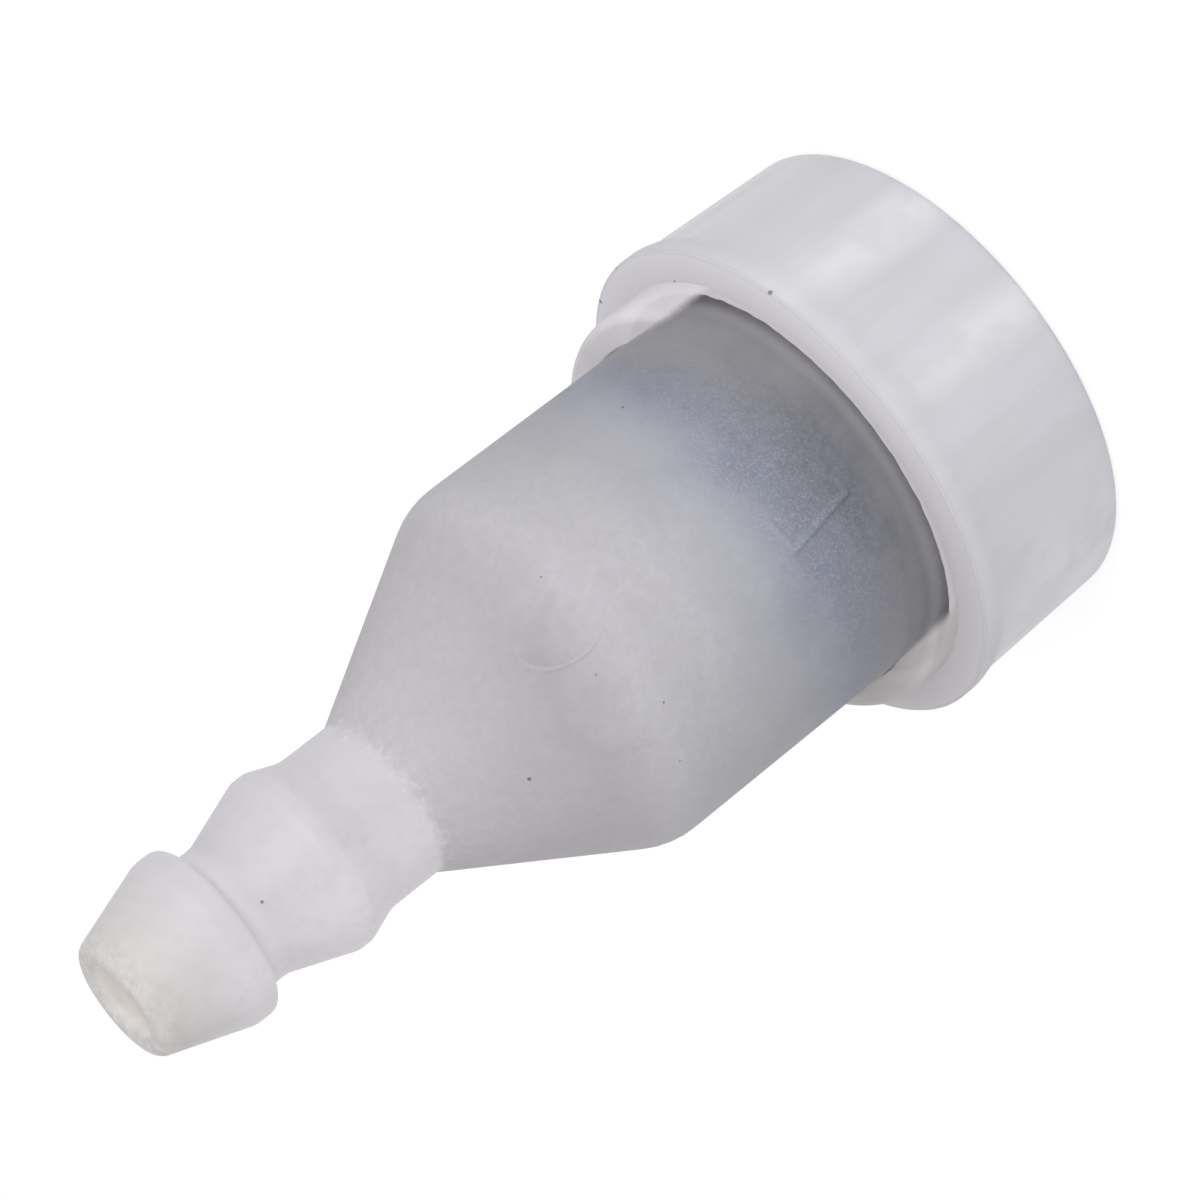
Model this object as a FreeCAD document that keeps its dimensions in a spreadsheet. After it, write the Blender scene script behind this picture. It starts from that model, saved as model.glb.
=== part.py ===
import FreeCAD, Part
import math
import os

import Sketcher

# Spring-loaded non-return valve with a hose tail, in millimetres.
# The part stands on its inlet face: the origin is the middle of that face and +Z runs
# along the valve's axis, through the chamber, to the tip of the hose tail.
# The side with the moulded marks faces -Y.

SIZES = [
    ("collar_height", 11.7, "inlet face to the front of the collar"),
    ("collar_wall", 1.41, "wall of the collar at the inlet face"),
    ("collar_draft", 0.3, "how much wider the collar is under its lip, for mould draft"),
    ("lip_overhang", 0.3, "how far the lip round the collar's front stands out"),
    ("lip_height", 1.0, "straight part of the lip"),
    ("lip_blend_height", 1.2, "slope from the collar to the lip"),
    ("collar_foot_bevel", 0.4, "bevel of the collar's outer edge at the inlet face"),
    ("socket_depth", 6.0, "inlet face to the underside of the seat plate"),
    ("socket_chamfer", 0.6, "lead-in at the socket's mouth"),
    ("plate_thickness", 1.6, "seat plate across the collar, with the port in its middle"),
    ("plate_clearance", 0.05, "radial gap between the seat plate and the collar"),
    ("port_radius", 4.6, "inlet port through the seat plate"),
    ("seat_outer_radius", 6.0, "foot of the raised seat round the port"),
    ("seat_height", 1.1, "raised seat above the plate"),
    ("seat_land_radius", 5.5, "outside of the seat's flat crest"),
    ("seat_bevel", 0.3, "bevel inside the seat's crest"),
    ("gasket_thickness", 0.8, "flat gasket between the seat plate and the body"),
    ("ring_gap", 0.05, "radial gap between the chamber and the retaining ring"),
    ("ring_neck_wall", 0.95, "neck of the ring, which fills the collar's front hole"),
    ("ring_clearance", 0.04, "radial gap between that neck and the collar"),
    ("ring_wall", 1.8, "head of the ring, which stands on the collar's front"),
    ("ring_rise", 3.15, "middle of the ring's slanted front above the collar"),
    ("ring_slant", 5.2, "slant of the ring's front, in degrees"),
    ("ring_slant_place", 53.3, "where the ring's front is highest, in degrees from +X towards +Y"),
    ("flange_thickness", 1.4, "foot flange of the chamber, held behind the collar's front wall"),
    ("flange_ledge", 0.81, "how far that flange reaches behind the collar's front wall"),
    ("flange_clearance", 0.04, "radial gap between the flange and the collar's bore"),
    ("body_radius", 12.0, "outside of the chamber"),
    ("body_wall", 1.6, "wall of the chamber"),
    ("chamber_height", 20.85, "plain chamber between its foot flange and the shoulder"),
    ("shoulder_height", 12.05, "conical shoulder, along the axis"),
    ("shoulder_wall", 1.7, "wall of the conical shoulder, square to its face"),
    ("shoulder_rounding", 4.5, "rounding where the chamber turns into the shoulder"),
    ("neck_radius", 5.0, "neck of the hose tail"),
    ("neck_height", 3.6, "plain neck above the shoulder"),
    ("neck_root_rounding", 0.5, "blend from the shoulder to the neck"),
    ("rear_barb_radius", 5.7, "crest of the rear barb"),
    ("rear_barb_back", 1.9, "back slope of the rear barb"),
    ("rear_barb_land", 0.8, "flat crest of the rear barb"),
    ("rear_barb_ramp", 4.0, "front slope of the rear barb"),
    ("barb_rounding", 0.6, "rounding of the rear barb's crest"),
    ("groove_radius", 4.25, "groove between the barbs"),
    ("groove_height", 1.6, "length of the groove"),
    ("front_barb_radius", 5.4, "crest of the front barb"),
    ("front_barb_land", 1.5, "short cylinder behind the front barb's slope"),
    ("front_barb_ramp", 5.3, "front slope of the front barb"),
    ("front_barb_bevel", 0.2, "bevel of the front barb's back edge"),
    ("front_barb_rounding", 2.0, "blend of the front barb's slope into its crest"),
    ("tip_radius", 3.6, "hose tail's tip, before its edge is bevelled"),
    ("tip_bevel", 0.5, "bevel of the tip's edge"),
    ("tail_bore_radius", 2.2, "flow passage through the hose tail"),
    ("guide_seat_height", 15.6, "depth of the wide chamber bore, up to the ledge that the guide meets"),
    ("guide_ledge", 0.8, "width of that ledge"),
    ("guide_clearance", 0.05, "radial gap between the guide's rim and the chamber"),
    ("guide_rim_height", 2.0, "height of the guide's rim and arms"),
    ("guide_rim_width", 1.3, "radial width of the guide's rim"),
    ("guide_arm_width", 1.6, "width of one arm of the guide"),
    ("guide_arm_count", 4, "arms of the guide"),
    ("guide_hub_radius", 2.9, "outside of the guide's hub"),
    ("guide_hub_height", 5.0, "height of the hub above the spring's seat"),
    ("spring_seat_radius", 5.2, "flange of the guide that the spring pushes on"),
    ("spring_seat_thickness", 1.0, "thickness of that flange"),
    ("spring_boss_height", 1.0, "bosses that centre the spring's ends"),
    ("spring_boss_clearance", 0.25, "radial gap between a boss and the spring"),
    ("spring_mean_radius", 4.0, "middle of the wire to the axis"),
    ("spring_wire_radius", 0.22, "half of the wire's thickness"),
    ("spring_active_coils", 3, "open coils"),
    ("spring_end_gap", 0.02, "gap between neighbouring wires in the closed end coils"),
    ("stem_radius", 1.4, "poppet's guide stem"),
    ("stem_clearance", 0.05, "running gap between the stem and the hub"),
    ("stem_end_margin", 1.0, "stem standing out of the hub when the valve is shut"),
    ("stem_stop_radius", 2.4, "thick foot of the stem, which stops the poppet at full lift"),
    ("poppet_lift", 3.5, "travel of the poppet"),
    ("stop_gap", 0.05, "what is left at the stop at full lift"),
    ("head_radius", 7.6, "poppet's head"),
    ("head_thickness", 1.5, "thickness of the head"),
    ("head_bevel", 0.3, "bevel round the head and the stem's end"),
    ("seal_radius", 7.0, "rubber disc under the head"),
    ("seal_thickness", 1.8, "thickness of the rubber disc"),
    ("seal_bevel", 0.4, "bevel round the rubber disc"),
    ("pin_radius", 1.5, "pin under the head that carries the rubber disc"),
    ("pin_clearance", 0.02, "radial gap round that pin"),
    ("pin_end", 0.5, "pin standing out of the clip"),
    ("clip_radius", 3.2, "push-on clip under the rubber disc"),
    ("clip_thickness", 0.5, "thickness of the clip"),
    ("clip_slot_width", 0.5, "slots between the clip's fingers"),
    ("clip_slot_reach", 2.4, "how far from the axis the slots reach"),
    ("clip_slot_count", 6, "slots of the clip"),
    ("gasket_inset", 0.1, "gasket kept back from the walls beside it"),
    ("washer_thickness", 1.2, "flat washer in the inlet socket"),
    ("washer_bore_radius", 7.2, "hole of that washer"),
    ("washer_groove_depth", 0.3, "undercut round the socket's bottom that holds the washer"),
    ("washer_clearance", 0.05, "radial gap between the washer and that undercut"),
    ("mark_relief", 0.2, "how far the moulded corner mark stands out"),
    ("mark_stroke", 0.5, "width of the corner mark's legs"),
    ("mark_long_leg", 4.6, "leg along the axis"),
    ("mark_short_leg", 1.8, "leg round the chamber"),
    ("mark_angle", 14.6, "mark's corner round the axis, in degrees from -Y towards -X"),
    ("mark_rise", 9.55, "foot flange to the mark's corner, along the axis"),
    ("mark_lean", 10.0, "lean of the mark, in degrees"),
    ("dimple_radius", 2.1, "round gate dimple"),
    ("dimple_depth", 0.3, "depth of the dimple"),
    ("dimple_angle", 8.5, "dimple's place round the axis, in degrees from -Y towards +X"),
    ("dimple_lean", 22.0, "lean of the dimple's floor from the axis, in degrees"),
    ("dimple_rise", 2.2, "start of the shoulder to the dimple's middle, along the axis"),
]

doc = FreeCAD.newDocument("NonReturnValve")
sheet = doc.addObject("Spreadsheet::Sheet", "Sizes")
for row, (alias, value, meaning) in enumerate(SIZES, start=1):
    sheet.set(f"A{row}", meaning)
    sheet.set(f"B{row}", str(value))
    sheet.setAlias(f"B{row}", alias)
doc.recompute()


class Length:
    """A size of the sheet, or sizes added, subtracted and scaled: an expression and its value."""

    def __init__(self, text, value):
        self.text = text
        self.value = value

    def __add__(self, other):
        return Length(f"({self.text} + {other.text})", self.value + other.value)

    def __sub__(self, other):
        return Length(f"({self.text} - {other.text})", self.value - other.value)

    def __mul__(self, other):
        return Length(f"({self.text} * {other.text})", self.value * other.value)

    def __truediv__(self, other):
        return Length(f"({self.text} / {other.text})", self.value / other.value)


def size(alias):
    return Length(f"Sizes.{alias}", float(getattr(sheet, alias)))


def number(value):
    return Length(repr(value), float(value))


ZERO = number(0)
TWO = number(2)


def square_root(length):
    return Length(f"sqrt({length.text})", math.sqrt(length.value))


def cosine(angle):
    return Length(f"cos({angle.text} * 1 deg)", math.cos(math.radians(angle.value)))


def sine(angle):
    return Length(f"sin({angle.text} * 1 deg)", math.sin(math.radians(angle.value)))


def tangent(angle):
    return Length(f"tan({angle.text} * 1 deg)", math.tan(math.radians(angle.value)))


# Levels along the axis, stacked from the inlet face upwards.
collar_front = size("collar_height")
plate_under = size("socket_depth")
plate_top = plate_under + size("plate_thickness")
seat_level = plate_top + size("seat_height")
body_end = plate_top + size("gasket_thickness")
washer_under = plate_under - size("washer_thickness")
flange_top = body_end + size("flange_thickness")
ring_front = collar_front + size("ring_rise")
shoulder_start = flange_top + size("chamber_height")
shoulder_end = shoulder_start + size("shoulder_height")
neck_end = shoulder_end + size("neck_height")
rear_barb_start = neck_end + size("rear_barb_back")
rear_barb_end = rear_barb_start + size("rear_barb_land")
groove_start = rear_barb_end + size("rear_barb_ramp")
groove_end = groove_start + size("groove_height")
front_barb_end = groove_end + size("front_barb_land")
tip_level = front_barb_end + size("front_barb_ramp")
guide_top = body_end + size("guide_seat_height")
guide_under = guide_top - size("guide_rim_height")
head_under = seat_level + size("seal_thickness")
head_top = head_under + size("head_thickness")

# Radii that follow from a size and a wall or a clearance, from the chamber outwards and inwards.
ring_bore = size("body_radius") + size("ring_gap")
ring_neck_radius = ring_bore + size("ring_neck_wall")
ring_radius = ring_bore + size("ring_wall")
front_hole = ring_neck_radius + size("ring_clearance")
flange_radius = front_hole + size("flange_ledge")
collar_bore = flange_radius + size("flange_clearance")
collar_rear_radius = collar_bore + size("collar_wall")
collar_front_radius = collar_rear_radius + size("collar_draft")
lip_radius = collar_front_radius + size("lip_overhang")
washer_groove = collar_bore + size("washer_groove_depth")
chamber_bore = size("body_radius") - size("body_wall")
guide_bore = chamber_bore - size("guide_ledge")
spring_inside = size("spring_mean_radius") - size("spring_wire_radius")
spring_boss_radius = spring_inside - size("spring_boss_clearance")
hub_bore = size("stem_radius") + size("stem_clearance")

# The shoulder's slope: how far the outside draws in for each millimetre of height.
shoulder_slope = (size("body_radius") - size("neck_radius")) / size("shoulder_height")


def new_body(label):
    body = doc.addObject("PartDesign::Body", label)
    body.Label = label
    return body


def origin_plane(body, role):
    for feature in body.Origin.OriginFeatures:
        if feature.Role == role:
            return feature
    raise ValueError(f"no plane {role}")


def new_sketch(body, name, role, level=None):
    """An empty sketch on one of the body's planes, lifted along its normal by level."""
    sketch = body.newObject("Sketcher::SketchObject", name)
    sketch.AttachmentSupport = [(origin_plane(body, role), "")]
    sketch.MapMode = "FlatFace"
    if level is not None:
        sketch.setExpression("AttachmentOffset.Base.z", level.text)
    return sketch


def pin_point(sketch, line, end, axis_index, kind, place):
    """Ties one coordinate of a line's end to an expression, or to the axis itself when it is zero."""
    if place.text == ZERO.text:
        sketch.addConstraint(Sketcher.Constraint("PointOnObject", line, end, axis_index))
        return
    index = sketch.addConstraint(Sketcher.Constraint(kind, -1, 1, line, end, place.value))
    sketch.setExpression(f"Constraints[{index}]", place.text)


def add_outline(sketch, corners):
    """Closed outline of straight lines whose every corner follows the sheet."""
    first = sketch.GeometryCount
    count = len(corners)
    points = [FreeCAD.Vector(across.value, along.value, 0) for across, along in corners]
    for number_of_line in range(count):
        start = points[number_of_line]
        end = points[(number_of_line + 1) % count]
        sketch.addGeometry(Part.LineSegment(start, end), False)
    for number_of_line in range(count):
        following = first + (number_of_line + 1) % count
        sketch.addConstraint(Sketcher.Constraint("Coincident", first + number_of_line, 2, following, 1))
    for number_of_line, (across, along) in enumerate(corners):
        line = first + number_of_line
        pin_point(sketch, line, 1, -2, "DistanceX", across)
        pin_point(sketch, line, 1, -1, "DistanceY", along)


def add_circle(sketch, radius):
    """Circle round the sketch's origin."""
    index = sketch.addGeometry(Part.Circle(FreeCAD.Vector(0, 0, 0), FreeCAD.Vector(0, 0, 1), radius.value), False)
    sketch.addConstraint(Sketcher.Constraint("Coincident", index, 3, -1, 1))
    place = sketch.addConstraint(Sketcher.Constraint("Radius", index, radius.value))
    sketch.setExpression(f"Constraints[{place}]", radius.text)


def revolve(body, name, corners):
    """Solid turned round the axis from an outline of (radius, height) corners."""
    sketch = new_sketch(body, f"{name}Outline", "XZ_Plane")
    add_outline(sketch, corners)
    feature = body.newObject("PartDesign::Revolution", name)
    feature.Profile = sketch
    feature.ReferenceAxis = (sketch, ["V_Axis"])
    feature.Angle = 360.0
    doc.recompute()
    return feature


def dress_edges(body, name, kind, amount, circles):
    """Fillet or chamfer on the circular edges at the given (radius, height) places."""
    base = body.Tip
    names = []
    for index, edge in enumerate(base.Shape.Edges, start=1):
        if not isinstance(edge.Curve, Part.Circle):
            continue
        for across, along in circles:
            same_radius = abs(edge.Curve.Radius - across.value) < 1e-4
            same_height = abs(edge.Curve.Center.z - along.value) < 1e-4
            if same_radius and same_height:
                names.append(f"Edge{index}")
    if len(names) < len(circles):
        raise ValueError(f"{name}: an edge is missing")
    feature = body.newObject(f"PartDesign::{kind}", name)
    feature.Base = (base, names)
    feature.setExpression("Radius" if kind == "Fillet" else "Size", amount.text)
    doc.recompute()


def repeat_round_axis(body, name, feature, count):
    """The feature, repeated evenly round the valve's axis."""
    pattern = body.newObject("PartDesign::PolarPattern", name)
    pattern.Originals = [feature]
    pattern.Axis = (feature.Profile[0], ["N_Axis"])
    pattern.Angle = 360.0
    pattern.setExpression("Occurrences", count.text)
    body.Tip = pattern
    doc.recompute()
    return pattern


def changed_volume(before, body, name):
    """A cut or an addition that did nothing is an error."""
    if abs(body.Shape.Volume - before) < 1e-3:
        raise ValueError(f"{name} changed nothing")


def make_valve_body():
    body = new_body("valve_body")
    # Straight lines of the inside of the shoulder: the outside, moved down the axis by the wall.
    slope = shoulder_slope
    drop = size("shoulder_wall") * square_root(number(1) + slope * slope) / slope
    inner_cone_start = shoulder_start + (size("body_radius") - guide_bore) / slope - drop
    inner_cone_end = shoulder_start + (size("body_radius") - size("tail_bore_radius")) / slope - drop
    revolve(body, "BodyTurned", [
        (chamber_bore, body_end),
        (flange_radius, body_end),
        (flange_radius, flange_top),
        (size("body_radius"), flange_top),
        (size("body_radius"), shoulder_start),
        (size("neck_radius"), shoulder_end),
        (size("neck_radius"), neck_end),
        (size("rear_barb_radius"), rear_barb_start),
        (size("rear_barb_radius"), rear_barb_end),
        (size("groove_radius"), groove_start),
        (size("groove_radius"), groove_end),
        (size("front_barb_radius"), groove_end),
        (size("front_barb_radius"), front_barb_end),
        (size("tip_radius"), tip_level),
        (size("tail_bore_radius"), tip_level),
        (size("tail_bore_radius"), inner_cone_end),
        (guide_bore, inner_cone_start),
        (guide_bore, guide_top),
        (chamber_bore, guide_top),
    ])
    dress_edges(body, "ShoulderRounding", "Fillet", size("shoulder_rounding"), [
        (size("body_radius"), shoulder_start),
    ])
    dress_edges(body, "NeckRoot", "Fillet", size("neck_root_rounding"), [(size("neck_radius"), shoulder_end)])
    dress_edges(body, "RearBarbCrest", "Fillet", size("barb_rounding"), [
        (size("rear_barb_radius"), rear_barb_start),
        (size("rear_barb_radius"), rear_barb_end),
    ])
    dress_edges(body, "FrontBarbCrest", "Fillet", size("front_barb_rounding"), [
        (size("front_barb_radius"), front_barb_end),
    ])
    dress_edges(body, "FrontBarbBevel", "Chamfer", size("front_barb_bevel"), [
        (size("front_barb_radius"), groove_end),
    ])
    dress_edges(body, "TipBevel", "Chamfer", size("tip_bevel"), [(size("tip_radius"), tip_level)])
    add_corner_mark(body)
    cut_dimple(body)
    return body


def turned_sketch(body, name, angle, distance):
    """Sketch on the XZ plane, turned round the axis and moved outwards by distance."""
    sketch = new_sketch(body, name, "XZ_Plane")
    turn = FreeCAD.Rotation(FreeCAD.Vector(0, 1, 0), angle.value)
    sketch.AttachmentOffset = FreeCAD.Placement(turn.multVec(FreeCAD.Vector(0, 0, distance.value)), turn)
    sketch.setExpression("AttachmentOffset.Base.x", (distance * sine(angle)).text)
    sketch.setExpression("AttachmentOffset.Base.z", (distance * cosine(angle)).text)
    sketch.setExpression("AttachmentOffset.Rotation.Angle", f"{angle.text} * 1 deg")
    return sketch


def add_corner_mark(body):
    """Raised corner mark on the chamber, one leg along the axis and one leg round it."""
    before = body.Shape.Volume
    embedding = size("mark_relief") + size("mark_relief")
    face = size("body_radius") + size("mark_relief")
    sketch = turned_sketch(body, "CornerMarkOutline", ZERO - size("mark_angle"), face)
    lean_sine = sine(size("mark_lean"))
    lean_cosine = cosine(size("mark_lean"))
    half_stroke = size("mark_stroke") / TWO
    corner_level = flange_top + size("mark_rise")
    upright = [
        (ZERO - half_stroke, ZERO - size("mark_long_leg")),
        (half_stroke, ZERO - size("mark_long_leg")),
        (half_stroke, ZERO - half_stroke),
        (size("mark_short_leg"), ZERO - half_stroke),
        (size("mark_short_leg"), half_stroke),
        (ZERO - half_stroke, half_stroke),
    ]
    leaning = []
    for across, along in upright:
        turned_across = across * lean_cosine - along * lean_sine
        turned_along = across * lean_sine + along * lean_cosine
        leaning.append((turned_across, corner_level + turned_along))
    add_outline(sketch, leaning)
    pad = body.newObject("PartDesign::Pad", "CornerMark")
    pad.Profile = sketch
    pad.Reversed = True
    pad.setExpression("Length", (size("mark_relief") + embedding).text)
    doc.recompute()
    changed_volume(before, body, "corner mark")


def cut_dimple(body):
    """Shallow round dimple, square to the shoulder's face."""
    before = body.Shape.Volume
    height = shoulder_start + size("dimple_rise")
    across = size("body_radius") - size("dimple_rise") * shoulder_slope
    turn = size("dimple_angle")
    sketch = new_sketch(body, "DimpleOutline", "XZ_Plane")
    place = [across * sine(turn), height, across * cosine(turn)]
    point = "; ".join(length.text for length in place)
    turned = f"rotation(vector(0; 1; 0); {turn.text} * 1 deg)"
    leaned = f"rotation(vector(1; 0; 0); -{size('dimple_lean').text} * 1 deg)"
    sketch.setExpression("AttachmentOffset", f"placement(vector({point}); {turned} * {leaned})")
    add_circle(sketch, size("dimple_radius"))
    pocket = body.newObject("PartDesign::Pocket", "Dimple")
    pocket.Profile = sketch
    pocket.Midplane = True
    pocket.setExpression("Length", (size("dimple_depth") * TWO).text)
    doc.recompute()
    changed_volume(before, body, "dimple")


def make_inlet_collar():
    body = new_body("inlet_collar")
    lip_foot = collar_front - size("lip_height")
    revolve(body, "CollarTurned", [
        (collar_bore + size("socket_chamfer"), ZERO),
        (collar_rear_radius, ZERO),
        (collar_front_radius, lip_foot - size("lip_blend_height")),
        (lip_radius, lip_foot),
        (lip_radius, collar_front),
        (front_hole, collar_front),
        (front_hole, flange_top),
        (collar_bore, flange_top),
        (collar_bore, plate_under),
        (washer_groove, plate_under),
        (washer_groove, washer_under),
        (collar_bore, washer_under),
        (collar_bore, size("socket_chamfer")),
    ])
    dress_edges(body, "FootBevel", "Chamfer", size("collar_foot_bevel"), [(collar_rear_radius, ZERO)])
    return body


def make_retaining_ring():
    """Ring with a neck in the collar's front hole and a wider head, whose front is cut at a slant."""
    body = new_body("retaining_ring")
    slope = tangent(size("ring_slant"))
    blank_top = ring_front + ring_radius * slope
    revolve(body, "RingTurned", [
        (ring_bore, flange_top),
        (ring_neck_radius, flange_top),
        (ring_neck_radius, collar_front),
        (ring_radius, collar_front),
        (ring_radius, blank_top),
        (ring_bore, blank_top),
    ])
    before = body.Shape.Volume
    reach = ring_radius * TWO
    sketch = turned_sketch(body, "SlantOutline", size("ring_slant_place"), ZERO)
    add_outline(sketch, [
        (ZERO - reach, ring_front - reach * slope),
        (reach, ring_front + reach * slope),
        (reach, ring_front + reach),
        (ZERO - reach, ring_front + reach),
    ])
    cut = body.newObject("PartDesign::Pocket", "SlantCut")
    cut.Profile = sketch
    cut.Midplane = True
    cut.setExpression("Length", (reach * TWO).text)
    doc.recompute()
    changed_volume(before, body, "slanted cut")
    return body


def make_seat_plate():
    body = new_body("seat_plate")
    outside = collar_bore - size("plate_clearance")
    revolve(body, "PlateTurned", [
        (size("port_radius"), plate_under),
        (outside, plate_under),
        (outside, plate_top),
        (size("seat_outer_radius"), plate_top),
        (size("seat_land_radius"), seat_level),
        (size("port_radius") + size("seat_bevel"), seat_level),
        (size("port_radius"), seat_level - size("seat_bevel")),
    ])
    return body


def make_body_gasket():
    body = new_body("body_gasket")
    inside = chamber_bore + size("gasket_inset")
    outside = flange_radius - size("gasket_inset")
    revolve(body, "GasketTurned", [
        (inside, plate_top),
        (outside, plate_top),
        (outside, body_end),
        (inside, body_end),
    ])
    return body


def make_inlet_washer():
    body = new_body("inlet_washer")
    outside = washer_groove - size("washer_clearance")
    revolve(body, "WasherTurned", [
        (size("washer_bore_radius"), washer_under),
        (outside, washer_under),
        (outside, plate_under),
        (size("washer_bore_radius"), plate_under),
    ])
    return body


def make_spring_guide():
    body = new_body("spring_guide")
    rim_outside = chamber_bore - size("guide_clearance")
    rim_inside = rim_outside - size("guide_rim_width")
    boss_end = guide_under - size("spring_boss_height")
    flange_top = guide_under + size("spring_seat_thickness")
    hub_top = guide_under + size("guide_hub_height")
    revolve(body, "HubTurned", [
        (hub_bore, boss_end),
        (spring_boss_radius, boss_end),
        (spring_boss_radius, guide_under),
        (size("spring_seat_radius"), guide_under),
        (size("spring_seat_radius"), flange_top),
        (size("guide_hub_radius"), flange_top),
        (size("guide_hub_radius"), hub_top),
        (hub_bore, hub_top),
    ])
    # One arm from inside the hub's wall to inside the rim, then the others round the axis.
    half_arm = size("guide_arm_width") / TWO
    arm_start = (hub_bore + size("guide_hub_radius")) / TWO
    arm_end = (rim_inside + rim_outside) / TWO
    sketch = new_sketch(body, "ArmOutline", "XY_Plane", guide_under)
    add_outline(sketch, [
        (arm_start, ZERO - half_arm),
        (arm_end, ZERO - half_arm),
        (arm_end, half_arm),
        (arm_start, half_arm),
    ])
    arm = body.newObject("PartDesign::Pad", "Arm")
    arm.Profile = sketch
    arm.setExpression("Length", size("guide_rim_height").text)
    doc.recompute()
    repeat_round_axis(body, "Arms", arm, size("guide_arm_count"))
    revolve(body, "RimTurned", [
        (rim_inside, guide_under),
        (rim_outside, guide_under),
        (rim_outside, guide_top),
        (rim_inside, guide_top),
    ])
    return body


def make_poppet():
    body = new_body("poppet")
    pin_under = seat_level - size("clip_thickness") - size("pin_end")
    boss_top = head_top + size("spring_boss_height")
    stop_level = guide_under - size("spring_boss_height") - size("poppet_lift") - size("stop_gap")
    stem_top = guide_under + size("guide_hub_height") + size("stem_end_margin")
    revolve(body, "PoppetTurned", [
        (ZERO, pin_under),
        (size("pin_radius"), pin_under),
        (size("pin_radius"), head_under),
        (size("head_radius"), head_under),
        (size("head_radius"), head_top),
        (spring_boss_radius, head_top),
        (spring_boss_radius, boss_top),
        (size("stem_stop_radius"), boss_top),
        (size("stem_stop_radius"), stop_level),
        (size("stem_radius"), stop_level),
        (size("stem_radius"), stem_top),
        (ZERO, stem_top),
    ])
    dress_edges(body, "HeadBevel", "Chamfer", size("head_bevel"), [
        (size("head_radius"), head_top),
        (size("stem_radius"), stem_top),
    ])
    return body


def make_poppet_seal():
    body = new_body("poppet_seal")
    inside = size("pin_radius") + size("pin_clearance")
    revolve(body, "SealTurned", [
        (inside, seat_level),
        (size("seal_radius") - size("seal_bevel"), seat_level),
        (size("seal_radius"), seat_level + size("seal_bevel")),
        (size("seal_radius"), head_under),
        (inside, head_under),
    ])
    return body


def make_seal_clip():
    body = new_body("seal_clip")
    under = seat_level - size("clip_thickness")
    inside = size("pin_radius") + size("pin_clearance")
    revolve(body, "ClipTurned", [
        (inside, under),
        (size("clip_radius"), under),
        (size("clip_radius"), seat_level),
        (inside, seat_level),
    ])
    # Slots from the hole outwards leave the fingers that grip the pin.
    before = body.Shape.Volume
    half_slot = size("clip_slot_width") / TWO
    sketch = new_sketch(body, "SlotOutline", "XY_Plane", seat_level)
    add_outline(sketch, [
        (size("pin_radius") / TWO, ZERO - half_slot),
        (size("clip_slot_reach"), ZERO - half_slot),
        (size("clip_slot_reach"), half_slot),
        (size("pin_radius") / TWO, half_slot),
    ])
    slot = body.newObject("PartDesign::Pocket", "Slot")
    slot.Profile = sketch
    slot.setExpression("Length", size("clip_thickness").text)
    doc.recompute()
    changed_volume(before, body, "slot")
    repeat_round_axis(body, "Slots", slot, size("clip_slot_count"))
    return body


def add_coils(body, name, start, rise, turns):
    """Wire wound from the height start over the given rise; its round section is drawn with six sides."""
    sketch = new_sketch(body, f"{name}Wire", "XZ_Plane")
    section = []
    for side in range(6):
        turn = number(60 * side)
        across = size("spring_mean_radius") + size("spring_wire_radius") * cosine(turn)
        along = start + size("spring_wire_radius") * sine(turn)
        section.append((across, along))
    add_outline(sketch, section)
    coils = body.newObject("PartDesign::AdditiveHelix", name)
    coils.Profile = sketch
    coils.ReferenceAxis = (sketch, ["V_Axis"])
    coils.Mode = "height-turns-angle"
    coils.setExpression("Height", rise.text)
    coils.setExpression("Turns", turns.text)
    coils.Angle = 0
    doc.recompute()
    return coils


def make_return_spring():
    """Compression spring: one closed coil at each end and open coils between them."""
    body = new_body("return_spring")
    one = number(1)
    closed_rise = size("spring_wire_radius") * TWO + size("spring_end_gap")
    start = head_top + size("spring_wire_radius") + size("spring_end_gap")
    end = guide_under - size("spring_wire_radius") - size("spring_end_gap")
    open_start = start + closed_rise
    open_rise = end - closed_rise - open_start
    add_coils(body, "LowerEndCoil", start, closed_rise, one)
    add_coils(body, "OpenCoils", open_start, open_rise, size("spring_active_coils"))
    add_coils(body, "UpperEndCoil", end - closed_rise, closed_rise, one)
    return body


parts = [
    make_valve_body(),
    make_inlet_collar(),
    make_retaining_ring(),
    make_seat_plate(),
    make_body_gasket(),
    make_inlet_washer(),
    make_spring_guide(),
    make_poppet(),
    make_poppet_seal(),
    make_seal_clip(),
    make_return_spring(),
]
doc.recompute()

for item in doc.Objects:
    if "Invalid" in item.State or "Error" in item.State:
        raise ValueError(f"{item.Label} failed: {item.State}")
for part in parts:
    if part.Shape.isNull() or not part.Shape.isValid():
        raise ValueError(f"{part.Label} has no valid shape")

os.makedirs("parts", exist_ok=True)
for part in parts:
    part.Shape.exportStep(f"parts/{part.Label}.step")
    box = part.Shape.BoundBox
    print(part.Label, len(part.Shape.Solids), "solid", round(part.Shape.Volume, 1), "mm3",
          "z", round(box.ZMin, 2), round(box.ZMax, 2), "r", round(box.XMax, 2))
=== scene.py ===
import math

import bmesh
import bpy
from mathutils import Matrix, Vector
from mathutils import noise as smooth_noise


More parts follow.
